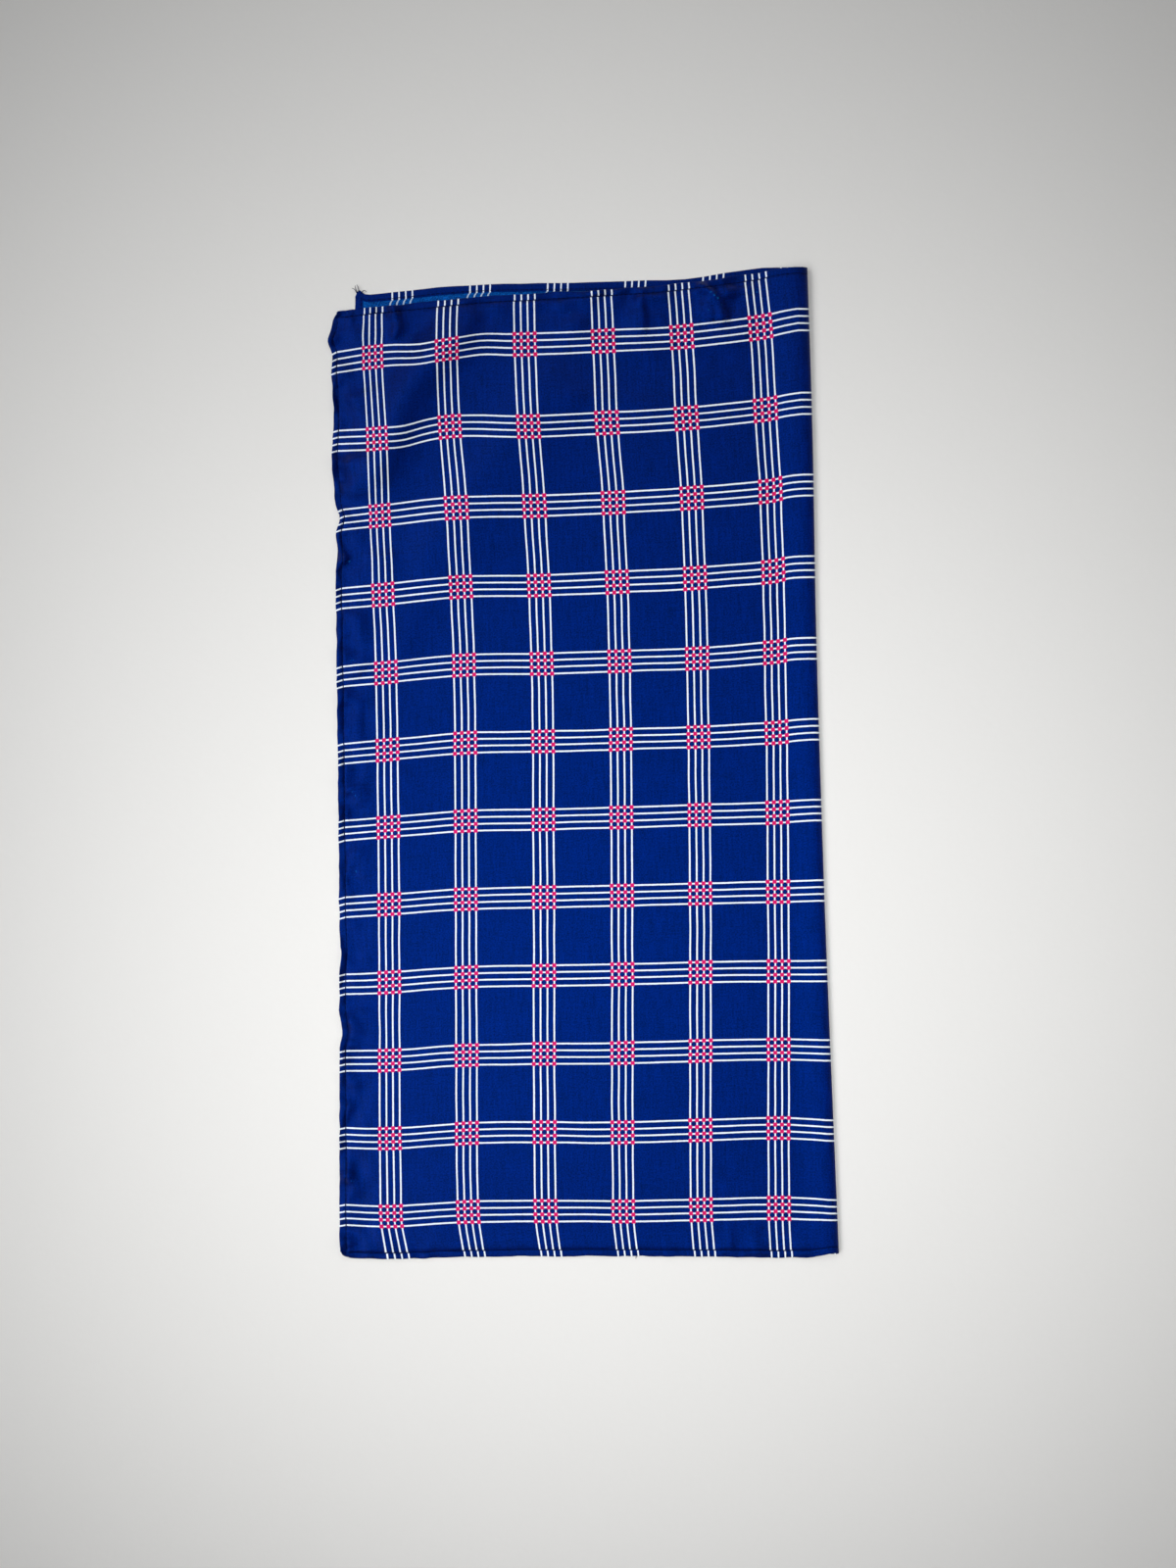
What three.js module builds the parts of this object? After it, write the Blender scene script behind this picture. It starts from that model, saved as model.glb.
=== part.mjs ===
// A square bandana of thin printed cloth, folded once and lying flat.
// +X is to the right across the folded cloth, towards the fold. +Y is up along the fold.
// +Z is up from the surface it lies on, and the origin is in the middle of its underside.
// It is one piece of cloth: a back layer on the surface, a soft loop at the fold, and a front
// layer that comes back over it. All sizes are in millimetres.

import * as THREE from 'three';
import { mergeVertices } from 'three/addons/utils/BufferGeometryUtils.js';

// The cloth and how closely its layers lie
const CLOTH = 1.0;          // one layer, thicker than the real weave so that it is a sound solid
const LAYER_GAP = 0.75;     // air between the layers
const HEM_WIDTH = 4.5;      // the turned hem along every free edge
const HEM_RISE = 0.3;       // how much the turned hem adds at the very edge
const CORNER_ROUND = 6.5;   // the front layer's two corners are blunt where the hems overlap
const LOOP_RUN = 16;        // how far from the fold the front layer comes down to lie flat
const STEP_START = 2.5;     // how far past the back layer's edge the front layer starts down
const STEP_END = 15;        // and where it lies on the surface

// How many strips the cloth is divided into
const BACK_STRIPS = 12;
const LOOP_STRIPS = 7;
const FRONT_STRIPS = 26;
const ROWS = 56;

// The two long sides at six heights: the front layer's hem, the fold, and the loop's height
const SIDES = [
  { up: -282, hem: -140.6, fold: 147.5, loop: 4.4 },
  { up: -125, hem: -140.6, fold: 141.0, loop: 4.2 },
  { up: -30, hem: -141.2, fold: 137.6, loop: 4.3 },
  { up: 78, hem: -142.5, fold: 134.4, loop: 4.6 },
  { up: 191, hem: -143.9, fold: 132.3, loop: 5.4 },
  { up: 286, hem: -144.8, fold: 129.3, loop: 6.8 },
];

// Places where the front layer's hem swells out or is pinched in
const PINCHES = [
  { name: 'corner swell', up: 245.5, reach: 4.5, shift: -3.0 },
  { name: 'upper slack', up: 224, reach: 7, shift: -1.2 },
  { name: 'slack above the pinch', up: 176, reach: 11, shift: -1.3 },
  { name: 'upper pinch', up: 141.5, reach: 6, shift: 2.8 },
  { name: 'below the pinch', up: 120, reach: 9, shift: 1.3 },
  { name: 'lower ripple', up: -108, reach: 12, shift: 0.9 },
  { name: 'lower pinch', up: -154.5, reach: 7, shift: 1.5 },
];

// The front layer's short edges
const FRONT_TOP = [
  { x: -145, up: 260.9 },
  { x: -84, up: 266.8 },
  { x: 10, up: 273.3 },
  { x: 54, up: 276.9 },
  { x: 92, up: 281.7 },
  { x: 119, up: 286.0 },
  { x: 130, up: 286.2 },
];
const FRONT_BOTTOM = [
  { x: -141, up: -285.9 },
  { x: -124, up: -286.2 },
  { x: -56, up: -284.3 },
  { x: 78, up: -284.4 },
  { x: 116, up: -285.3 },
  { x: 133, up: -284.7 },
  { x: 148, up: -281.8 },
];

// The back layer turned a little about the fold, so its top edge shows above the front layer's
const BACK_TOP = [
  { x: -132, up: 271.8 },
  { x: -120, up: 270.4 },
  { x: -65, up: 275.4 },
  { x: 17, up: 277.2 },
  { x: 84, up: 280.6 },
  { x: 130, up: 286.2 },
];
const BACK_BOTTOM = [
  { x: -114, up: -273.0 },
  { x: 20, up: -276.0 },
  { x: 148, up: -281.8 },
];
const BACK_HEM = [
  { up: -273, x: -113.7 },
  { up: 0, x: -123.7 },
  { up: 272, x: -131.7 },
];

// Soft waves that stand up in the front layer, each a long low ridge along its crest
const WAVES = [
  {
    name: 'corner wave',
    crest: [[-130, 150], [-112, 188], [-103, 212], [-89, 232], [-73, 249], [-64, 262]],
    width: 12,
    height: 3.7,
  },
  {
    name: 'swell beyond it',
    crest: [[-92, 108], [-72, 147], [-54, 171], [-37, 197], [-16, 234]],
    width: 19,
    height: 2.0,
  },
  { name: 'third wave', crest: [[-108, 58], [-97, 83], [-78, 106]], width: 13, height: 1.2 },
  { name: 'slack at the hem', crest: [[-130, 188], [-130, 203], [-134, 215]], width: 8, height: 1.7 },
  { name: 'slack under the pinch', crest: [[-119, 103], [-116, 121]], width: 12, height: 1.2 },
  { name: 'bump at the hem', crest: [[-132, 60], [-130, 88]], width: 7, height: 1.0 },
  { name: 'left border', crest: [[-131, 20], [-131, -190]], width: 7, height: 0.6 },
  { name: 'top border', crest: [[-20, 259], [90, 264]], width: 8, height: 0.7 },
  { name: 'curled crease', crest: [[82, 256], [72, 273]], width: 6, height: 0.8 },
];

const clamp = THREE.MathUtils.clamp;
const smooth = THREE.MathUtils.smoothstep;
const mix = THREE.MathUtils.lerp;

// A smooth curve through a table's rows, reading column `value` against column `at`.
function through(rows, at, value, t) {
  const last = rows.length - 1;
  let k = 0;
  while (k < last - 1 && t > rows[k + 1][at]) {
    k += 1;
  }
  const slope = (i) => {
    const a = rows[Math.max(i - 1, 0)];
    const b = rows[Math.min(i + 1, last)];
    return (b[value] - a[value]) / (b[at] - a[at]);
  };
  const span = rows[k + 1][at] - rows[k][at];
  const s = clamp((t - rows[k][at]) / span, 0, 1);
  const start = rows[k][value] + s * s * (3 - 2 * s) * (rows[k + 1][value] - rows[k][value]);
  return start + span * s * (1 - s) * ((1 - s) * slope(k) - s * slope(k + 1));
}

const foldAt = (up) => through(SIDES, 'up', 'fold', up);
const loopAt = (up) => through(SIDES, 'up', 'loop', up);

function frontHemAt(up) {
  let x = through(SIDES, 'up', 'hem', up);
  for (const pinch of PINCHES) {
    x += pinch.shift * Math.exp(-(((up - pinch.up) / pinch.reach) ** 2));
  }
  return x;
}

const LAYERS = {
  front: {
    hem: frontHemAt,
    top: (x) => through(FRONT_TOP, 'x', 'up', x),
    bottom: (x) => through(FRONT_BOTTOM, 'x', 'up', x),
  },
  back: {
    hem: (up) => through(BACK_HEM, 'up', 'x', up),
    top: (x) => through(BACK_TOP, 'x', 'up', x),
    bottom: (x) => through(BACK_BOTTOM, 'x', 'up', x),
  },
};

// A point of a layer, by its shares of the way from hem to loop and from bottom to top.
function placeOn(layer, across, along) {
  let up = mix(layer.bottom(0), layer.top(0), along);
  let x = 0;
  for (let round = 0; round < 4; round += 1) {
    x = mix(layer.hem(up), foldAt(up) - loopAt(up) / 2, across);
    up = mix(layer.bottom(x), layer.top(x), along);
  }
  return { x, up };
}

// Pulls the corner of the square at the hem into a round of CORNER_ROUND.
function bluntCorner(layer, point) {
  const hem = layer.hem(point.up);
  for (const [edge, side] of [[layer.top(point.x), 1], [layer.bottom(point.x), -1]]) {
    const out = 1 - (point.x - hem) / CORNER_ROUND;
    const off = 1 - (side * (edge - point.up)) / CORNER_ROUND;
    if (out > 0 && off > 0) {
      const x = hem + CORNER_ROUND * (1 - out * Math.sqrt(1 - (off * off) / 2));
      const up = edge - side * CORNER_ROUND * (1 - off * Math.sqrt(1 - (out * out) / 2));
      return { x, up };
    }
  }
  return point;
}

// How far a point lies outside the back layer, which is what the front layer rests on.
function pastBackLayer(x, up) {
  const back = LAYERS.back;
  const left = back.hem(up) - x;
  const above = up - back.top(x);
  const below = back.bottom(x) - up;
  return Math.max(left, above, below);
}

// How far a point lies from a crest, which is a line of short straight runs.
function awayFrom(crest, x, up) {
  let nearest = Infinity;
  for (let k = 0; k + 1 < crest.length; k += 1) {
    const [startX, startUp] = crest[k];
    const runX = crest[k + 1][0] - startX;
    const runUp = crest[k + 1][1] - startUp;
    const share = ((x - startX) * runX + (up - startUp) * runUp) / (runX * runX + runUp * runUp);
    const t = clamp(share, 0, 1);
    nearest = Math.min(nearest, Math.hypot(x - startX - t * runX, up - startUp - t * runUp));
  }
  return nearest;
}

function waveHeight(x, up) {
  let height = 0;
  for (const wave of WAVES) {
    height += wave.height * Math.exp(-((awayFrom(wave.crest, x, up) / wave.width) ** 2));
  }
  return height;
}

// The share of the full turned hem at a distance from the nearest free edge.
const hemShare = (distance) => 1 - smooth(distance, 0, HEM_WIDTH);

// The front layer's right side, which is the top of the folded cloth.
function frontSurface(x, up) {
  const onBack = 1 - smooth(pastBackLayer(x, up), STEP_START, STEP_END);
  const lying = CLOTH + onBack * (CLOTH + LAYER_GAP);
  const toLoop = foldAt(up) - loopAt(up) / 2 - x;
  const lift = (1 - smooth(toLoop, 0, LOOP_RUN)) * (loopAt(up) - lying);
  return lying + Math.max(lift, 0) + waveHeight(x, up);
}

// Where the cloth lies, for one point of the flat cut cloth: `strip` counts across it from the
// back layer's hem, `row` from the bottom, and `inside` is true on the wrong side.
function lay(strip, row, inside) {
  const along = crowd(row / ROWS, 0.5, 0);
  const intoLoop = strip - BACK_STRIPS;

  if (intoLoop <= 0) {
    const across = crowd(strip / BACK_STRIPS, 0.3, 0);
    const { x, up } = placeOn(LAYERS.back, across, along);
    const edge = Math.min(x - LAYERS.back.hem(up), LAYERS.back.top(x) - up, up - LAYERS.back.bottom(x));
    return new THREE.Vector3(x, up, inside ? CLOTH + HEM_RISE * hemShare(edge) : 0);
  }

  const intoFront = intoLoop - LOOP_STRIPS;
  if (intoFront < 0) {
    const { up } = placeOn(LAYERS.back, 1, along);
    const radius = loopAt(up) / 2;
    const turn = (Math.PI * intoLoop) / LOOP_STRIPS;
    const reach = inside ? radius - CLOTH : radius;
    return new THREE.Vector3(
      foldAt(up) - radius + reach * Math.sin(turn),
      up,
      radius - reach * Math.cos(turn),
    );
  }

  const across = 1 - crowd(intoFront / FRONT_STRIPS, 0.42, 0.32);
  const square = placeOn(LAYERS.front, across, along);
  const edge = Math.min(
    square.x - LAYERS.front.hem(square.up),
    LAYERS.front.top(square.x) - square.up,
    square.up - LAYERS.front.bottom(square.x),
  );
  const { x, up } = bluntCorner(LAYERS.front, square);
  const surface = frontSurface(x, up);
  return new THREE.Vector3(x, up, inside ? surface - CLOTH : surface + HEM_RISE * hemShare(edge));
}

// Shares from 0 to 1 that stand closer together at both ends, and by `lean` closer still at 1.
function crowd(share, amount, lean) {
  const even = share - (amount * Math.sin(2 * Math.PI * share)) / (2 * Math.PI);
  return even + lean * even * (1 - even);
}

// The flat cut cloth is a thin box in strips and rows, and every corner of it is laid in place.
function foldedCloth() {
  const strips = BACK_STRIPS + LOOP_STRIPS + FRONT_STRIPS;
  const flat = new THREE.BoxGeometry(strips, ROWS, 1, strips, ROWS, 1);
  flat.deleteAttribute('normal');
  flat.deleteAttribute('uv');
  const cloth = mergeVertices(flat);
  const corners = cloth.getAttribute('position');
  for (let i = 0; i < corners.count; i += 1) {
    const strip = Math.round(corners.getX(i) + strips / 2);
    const row = Math.round(corners.getY(i) + ROWS / 2);
    const laid = lay(strip, row, corners.getZ(i) > 0);
    corners.setXYZ(i, laid.x, laid.y, laid.z);
  }
  cloth.computeVertexNormals();
  return cloth;
}

const printedCloth = new THREE.MeshStandardMaterial({
  name: 'printed_cloth',
  color: 0x0b2c78,
  roughness: 0.55,
  metalness: 0,
});

const bandana = new THREE.Mesh(foldedCloth(), printedCloth);
bandana.name = 'bandana';

const part = new THREE.Group();
part.add(bandana);

export default part;
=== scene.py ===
# %% [markdown]
# # A folded bandana
# The real thing is one square of thin cotton, printed on one face with a windowpane check, with
# a narrow hem turned twice and sewn along all four edges. It is folded once and lies flat.
# The measured model already says where the folded cloth lies. This lesson makes the cloth
# itself: a thin sheet with its hem, its creases, its print and its stitches.

import math
from collections import namedtuple

import bpy
import numpy as np
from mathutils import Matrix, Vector, noise


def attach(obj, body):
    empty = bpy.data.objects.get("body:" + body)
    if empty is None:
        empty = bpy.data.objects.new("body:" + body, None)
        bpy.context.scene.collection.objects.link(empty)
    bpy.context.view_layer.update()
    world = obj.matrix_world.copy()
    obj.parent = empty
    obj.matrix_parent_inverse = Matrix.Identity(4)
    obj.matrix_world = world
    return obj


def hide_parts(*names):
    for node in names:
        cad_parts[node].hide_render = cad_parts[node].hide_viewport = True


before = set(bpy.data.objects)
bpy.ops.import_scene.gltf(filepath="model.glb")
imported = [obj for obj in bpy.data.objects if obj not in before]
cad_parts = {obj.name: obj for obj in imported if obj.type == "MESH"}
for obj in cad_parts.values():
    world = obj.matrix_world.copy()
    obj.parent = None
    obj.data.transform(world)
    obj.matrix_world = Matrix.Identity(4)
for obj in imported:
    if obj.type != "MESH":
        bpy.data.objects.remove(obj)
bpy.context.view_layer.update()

MM = 0.001

# %% [markdown]
# ## The camera
# The photograph looks straight down from about arm's length. A camera that looks straight down
# needs no aiming: its own axes already agree with the frame. Its height and angle are worked
# out from the stretch of table that the picture covers.

# %% The camera, straight above
PICTURE_TALL = 904.0        # mm of table that the picture covers, top to bottom
PICTURE_MIDDLE = (2.8, -12.0)
LENS_ANGLE = math.radians(67.3)
CLOTH_TOP = 1.6             # mm above the table, where that size holds

camera_data = bpy.data.cameras.new("camera")
camera_data.sensor_fit = "VERTICAL"
camera_data.angle = LENS_ANGLE
camera_data.clip_start = 0.01
camera = bpy.data.objects.new("camera", camera_data)
bpy.context.scene.collection.objects.link(camera)
bpy.context.scene.camera = camera
camera_height = PICTURE_TALL / 2 / math.tan(LENS_ANGLE / 2) + CLOTH_TOP
camera.location = Vector((*PICTURE_MIDDLE, camera_height)) * MM
bpy.context.scene.view_settings.view_transform = "Standard"
print("camera height, mm:", round(camera_height))

# %% [markdown]
# ## Writing materials as sums
# A material in Blender is a net of nodes. Wired one by one, the sums in it are hard to read, so
# one small class wraps a socket and lets it be added, multiplied and compared as a number is.

# %% A socket that can be reckoned with
class Wire:
    """An output socket of a material, with the operators of a number."""

    def __init__(self, paper, socket):
        self.paper = paper
        self.socket = socket

    def sum(self, operation, *values):
        return self.paper.node("ShaderNodeMath", {"operation": operation}, values)

    def __add__(self, other):
        return self.sum("ADD", self, other)

    __radd__ = __add__

    def __sub__(self, other):
        return self.sum("SUBTRACT", self, other)

    def __rsub__(self, other):
        return self.sum("SUBTRACT", other, self)

    def __mul__(self, other):
        return self.sum("MULTIPLY", self, other)

    __rmul__ = __mul__

    def __truediv__(self, other):
        return self.sum("DIVIDE", self, other)

    def __abs__(self):
        return self.sum("ABSOLUTE", self)

    def __gt__(self, other):
        return self.sum("GREATER_THAN", self, other)

    def sine(self):
        return self.sum("SINE", self)

    def least(self, other):
        return self.sum("MINIMUM", self, other)

    def most(self, other):
        return self.sum("MAXIMUM", self, other)

    def wrapped(self, period):
        """The same value counted from the middle of its period."""
        return self.sum("WRAP", self, period / 2, -period / 2)

    def below(self, edge, soft):
        """1 under the edge and 0 over it, with a soft step of that width."""
        settings = {"interpolation_type": "SMOOTHSTEP"}
        values = {"Value": self, "From Min": edge + soft / 2, "From Max": edge - soft / 2}
        return self.paper.node("ShaderNodeMapRange", settings, values)


class Paper:
    """A new material to write on, with its Principled shader ready."""

    def __init__(self, name):
        self.material = bpy.data.materials.new(name)
        self.material.use_nodes = True
        self.tree = self.material.node_tree
        self.shader = self.tree.nodes["Principled BSDF"]

    def node(self, kind, settings=None, values=(), output=0):
        """A node of that kind: its settings first, then its sockets' values or links."""
        made = self.tree.nodes.new(kind)
        for name, value in (settings or {}).items():
            setattr(made, name, value)
        pairs = values.items() if isinstance(values, dict) else enumerate(values)
        for key, value in pairs:
            if isinstance(value, Wire):
                self.tree.links.new(value.socket, made.inputs[key])
            else:
                made.inputs[key].default_value = value
        return Wire(self, made.outputs[output])

    def blend(self, mask, first, second):
        """The first colour where the mask is 0 and the second where it is 1."""
        settings = {"data_type": "RGBA"}
        return self.node("ShaderNodeMix", settings, {0: mask, 6: first, 7: second}, 2)

    def vector(self, operation, first, second):
        """Two places or colours joined part by part."""
        return self.node("ShaderNodeVectorMath", {"operation": operation}, (first, second))

    def part(self, place, axis):
        """One of the numbers that make up a place."""
        return self.node("ShaderNodeSeparateXYZ", None, (place,), axis)

    def tinted(self, colour, value):
        """A colour made lighter or darker by a number, without turning grey."""
        value = self.node("ShaderNodeCombineXYZ", None, (value, value, value))
        return self.vector("MULTIPLY", colour[:3], value)

    def noise(self, place, scale, detail=2.0):
        settings = {"noise_dimensions": "3D"}
        values = {"Vector": place, "Scale": scale, "Detail": detail}
        return self.node("ShaderNodeTexNoise", settings, values)

    def drift(self, place, scale, detail, amount):
        """A small move of a place, up to half that amount each way, that varies over the cloth."""
        values = {"Vector": place, "Scale": scale, "Detail": detail}
        cloud = self.node("ShaderNodeTexNoise", None, values, 1)
        values = {"Vector": self.vector("SUBTRACT", cloud, (0.5, 0.5, 0.5)), "Scale": amount}
        return self.node("ShaderNodeVectorMath", {"operation": "SCALE"}, values)

    def finish(self, **inputs):
        """Sets or links the shader's sockets, by their names with _ for a space."""
        for name, value in inputs.items():
            socket = self.shader.inputs[name.replace("_", " ")]
            if isinstance(value, Wire):
                self.tree.links.new(value.socket, socket)
            else:
                socket.default_value = value
        return self.material


# %% [markdown]
# ## The table
# The cloth lies on a plain pale table, a little rough, whose far edges are out of the picture.
# A single face is enough for it, with a faint grain from a bump. It lies a hair under the cloth,
# so that the two never share a plane.

# %% Table
TABLE_HALF = 1600.0
TABLE_DROP = 0.05

paper = Paper("pale_table")
place = paper.node("ShaderNodeTexCoord", output="Object")
grain = paper.noise(place, 260.0, 3.0)
bump = paper.node("ShaderNodeBump", None, {"Strength": 0.35, "Distance": 0.0004, "Height": grain})
pale_table = paper.finish(
    Base_Color=(0.80, 0.795, 0.78, 1.0), Roughness=0.6, Specular_IOR_Level=0.25, Normal=bump
)

corners = [(-TABLE_HALF, -TABLE_HALF), (TABLE_HALF, -TABLE_HALF)]
corners += [(TABLE_HALF, TABLE_HALF), (-TABLE_HALF, TABLE_HALF)]
table_mesh = bpy.data.meshes.new("table")
table_mesh.from_pydata([(x * MM, y * MM, -TABLE_DROP * MM) for x, y in corners], [], [(0, 1, 2, 3)])
table = bpy.data.objects.new("table", table_mesh)
table_mesh.materials.append(pale_table)
bpy.context.scene.collection.objects.link(table)
print("table, mm across:", 2 * TABLE_HALF)

# %% [markdown]
# ## The light
# The photograph was taken in a light room. One lamp would throw every shadow to the same side,
# so several wide soft lights stand round the cloth. The strongest are on the left, where the
# table is brightest. They stand high, because a low light would lay a grey shine over the navy.

# %% Lights
Lamp = namedtuple("Lamp", "name x y z size power aim_x aim_y spread")
LAMPS = [
    Lamp("lower left window", -732, -487, 852, 750, 1.14, 60, -160, 60),
    Lamp("upper left window", -732, 427, 852, 750, 0.97, 60, 100, 70),
    Lamp("upper window", 60, 884, 852, 750, 0.84, 60, 0, 100),
    Lamp("right wall", 950, -30, 717, 750, 0.20, 60, -160, 60),
    Lamp("ceiling, near", 60, -416, 1189, 750, 0.62, 60, -160, 60),
    Lamp("ceiling, middle", 60, -30, 1250, 750, 0.28, 60, -160, 50),
]
for lamp in LAMPS:
    light_data = bpy.data.lights.new(lamp.name, "AREA")
    light_data.shape = "DISK"
    light_data.size = lamp.size * MM
    light_data.energy = lamp.power
    light_data.spread = math.radians(lamp.spread)
    light = bpy.data.objects.new(lamp.name, light_data)
    bpy.context.scene.collection.objects.link(light)
    light.location = Vector((lamp.x, lamp.y, lamp.z)) * MM
    aim = Vector((lamp.aim_x, lamp.aim_y, 0)) * MM - light.location
    light.rotation_euler = aim.to_track_quat("-Z", "Y").to_euler()

world = bpy.data.worlds.new("room")
bpy.context.scene.world = world
world.use_nodes = True
world.node_tree.nodes["Background"].inputs["Color"].default_value = (0.97, 0.98, 1.0, 1.0)
world.node_tree.nodes["Background"].inputs["Strength"].default_value = 0.08
print("lights:", [lamp.name for lamp in LAMPS])

# %% [markdown]
# ## Where the folded cloth lies
# These are the sizes of the measured model, in millimetres: the two long sides, the pinches of
# the hem, and the edges of the back layer, which is turned a little about the fold.
# +x is right towards the fold, and `up` is along the fold.

# %% Outline tables
Side = namedtuple("Side", "up hem fold loop")
SIDES = [
    Side(-282, -140.6, 147.5, 4.4),
    Side(-125, -140.6, 141.0, 4.2),
    Side(-30, -141.2, 137.6, 4.3),
    Side(78, -142.5, 134.4, 4.6),
    Side(191, -143.9, 132.3, 5.4),
    Side(286, -144.8, 129.3, 6.8),
]
Pinch = namedtuple("Pinch", "name up reach shift")
PINCHES = [
    Pinch("corner swell", 243.6, 5.4, -3.0),
    Pinch("upper slack", 224, 7, -1.2),
    Pinch("slack above the pinch", 176, 11, -1.3),
    Pinch("upper pinch", 141.5, 6, 2.8),
    Pinch("below the pinch", 120, 9, 1.3),
    Pinch("lower ripple", -108, 12, 0.9),
    Pinch("lower pinch", -154.5, 7, 1.5),
]
EdgePoint = namedtuple("EdgePoint", "x up")
BACK_TOP = [
    EdgePoint(-131.7, 268.8),
    EdgePoint(-129.4, 272.6),
    EdgePoint(-125.5, 270.4),
    EdgePoint(-107, 271.6),
    EdgePoint(-65, 275.5),
    EdgePoint(17, 277.2),
    EdgePoint(84, 280.6),
    EdgePoint(130, 286.2),
]
BACK_BOTTOM = [EdgePoint(-114, -273.0), EdgePoint(20, -276.0), EdgePoint(148, -281.8)]
BACK_HEM = [EdgePoint(-113.7, -273), EdgePoint(-123.7, 0), EdgePoint(-131.7, 272)]


def curve_through(knots, values, t):
    """A smooth curve through points, read at an array of places."""
    knots, values = np.asarray(knots, float), np.asarray(values, float)
    ends = np.diff(values) / np.diff(knots)
    inner = (values[2:] - values[:-2]) / (knots[2:] - knots[:-2])
    slopes = np.concatenate([ends[:1], inner, ends[-1:]])
    k = np.clip(np.searchsorted(knots, t) - 1, 0, len(knots) - 2)
    span = knots[k + 1] - knots[k]
    s = np.clip((t - knots[k]) / span, 0, 1)
    start = values[k] + s * s * (3 - 2 * s) * (values[k + 1] - values[k])
    return start + span * s * (1 - s) * ((1 - s) * slopes[k] - s * slopes[k + 1])


def read(rows, at, value, t):
    """Reads one column of a table against another, smoothly."""
    knots = [getattr(row, at) for row in rows]
    return curve_through(knots, [getattr(row, value) for row in rows], t)


def smooth(t, low, high):
    s = np.clip((t - low) / (high - low), 0, 1)
    return s * s * (3 - 2 * s)


def front_hem_at(up):
    x = read(SIDES, "up", "hem", up)
    for pinch in PINCHES:
        x = x + pinch.shift * np.exp(-(((up - pinch.up) / pinch.reach) ** 2))
    return x


def past_back_layer(x, up):
    """How far a place is outside the back layer, which the front layer rests on."""
    left = read(BACK_HEM, "up", "x", up) - x
    above = up - read(BACK_TOP, "x", "up", x)
    below = read(BACK_BOTTOM, "x", "up", x) - up
    return np.maximum(np.maximum(left, above), below)


print("fold at mid height, mm:", round(float(read(SIDES, "up", "fold", 0.0)), 1))

# %% [markdown]
# ## How the check lies
# On the table it isn't: the hand that laid the cloth down has pulled it, so the bands climb
# towards the fold and dip at the hem. The cloth is therefore laid by its print. These rows say
# how high each band lies at a few places across, and how far over each column of lines stands.
# `cut` is measured up the flat cloth.

# %% The lie of the check
CUT_ACROSS = 549.0
CUT_UP = 556.0
COLUMN_STEP = 44.9
BAND_STEP = 45.6
FIRST_COLUMN = 29.1         # from the hem to the middle of the first group of lines
LOWEST_BAND = 25.4

SECOND_COLUMN = FIRST_COLUMN + COLUMN_STEP
THIRD_COLUMN = FIRST_COLUMN + 2 * COLUMN_STEP
FOURTH_COLUMN = FIRST_COLUMN + 3 * COLUMN_STEP
FIFTH_COLUMN = FIRST_COLUMN + 4 * COLUMN_STEP
SIXTH_COLUMN = FIRST_COLUMN + 5 * COLUMN_STEP


def band_cut(number):
    """Height of a band on the flat cloth. The bands are numbered 1 to 12 from the top."""
    return LOWEST_BAND + (12 - number) * BAND_STEP


Height = namedtuple("Height", "cut hem first second third fourth fifth sixth slack fold")
HEIGHTS = [
    Height(0.0, -285.6, -285.9, -284.8, -284.5, -284.4, -284.7, -285.3, -284.7, -281.7),
    Height(band_cut(12), -260.3, -261.3, -258.6, -258.2, -258.4, -257.3, -256.3, -257.1, -258.0),
    Height(band_cut(8), -83.4, -81.5, -78.3, -77.4, -76.4, -75.1, -74.3, -73.8, -73.2),
    Height(band_cut(5), 49.6, 52.1, 56.5, 57.4, 58.7, 60.5, 63.9, 65.7, 66.4),
    Height(band_cut(4), 94.6, 97.2, 101.5, 102.3, 104.5, 106.7, 110.6, 112.8, 113.5),
    Height(band_cut(3), 139.9, 142.6, 147.3, 148.3, 150.2, 152.8, 157.0, 159.5, 160.6),
    Height(band_cut(2), 185.7, 187.1, 194.0, 194.2, 196.2, 198.8, 203.8, 206.4, 208.1),
    Height(band_cut(1), 230.4, 234.2, 238.8, 241.4, 243.5, 245.7, 251.2, 253.9, 256.3),
    Height(CUT_UP, 260.3, 262.8, 267.3, 270.5, 273.1, 276.6, 282.7, 285.6, 286.4),
]
Bend = namedtuple("Bend", "name cut across rise reach_across reach_up")
BENDS = [
    Bend("band one, before the wave", band_cut(1), 57, -1.5, 12, 20),
    Bend("band one, past the wave", band_cut(1), 95, 1.5, 13, 20),
    Bend("band two, before the wave", band_cut(2), 46, -1.4, 11, 18),
]
Lean = namedtuple("Lean", "cut first second sixth")
LEANS = [
    Lean(0.0, -106.8, -62.8, 114.1),
    Lean(band_cut(12), -110.7, -66.4, 112.8),
    Lean(band_cut(8), -111.9, -67.6, 112.5),
    Lean(band_cut(5), -113.7, -68.7, 110.6),
    Lean(band_cut(3), -117.4, -73.1, 108.0),
    Lean(band_cut(2), -118.9, -76.8, 105.1),
    Lean(band_cut(1), -121.5, -78.7, 102.3),
    Lean(CUT_UP, -121.4, -78.3, 98.8),
]
print("bands on the flat cloth, mm:", [round(band_cut(n), 1) for n in (1, 6, 12)])

# %% [markdown]
# ## Stations
# The sheet is a grid of points. A hem is a few millimetres of fine shapes at the edge of half a
# metre of plain cloth, so the rows and columns stand close together there, closer in the part
# that is creased, and wide apart where the cloth is hidden.

# %% Rows and columns of the sheet
HEM_WIDTH = 4.4
HEM_STATIONS = np.array(
    [0, 0.1, 0.25, 0.5, 1.0, 1.8, 2.7, 3.2, 3.5, 3.7, 3.9, 4.15, 4.4, 4.65, 5.1, 6.0, 7.4, 9.2]
)
HEM_ZONE = HEM_STATIONS[-1]


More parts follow.
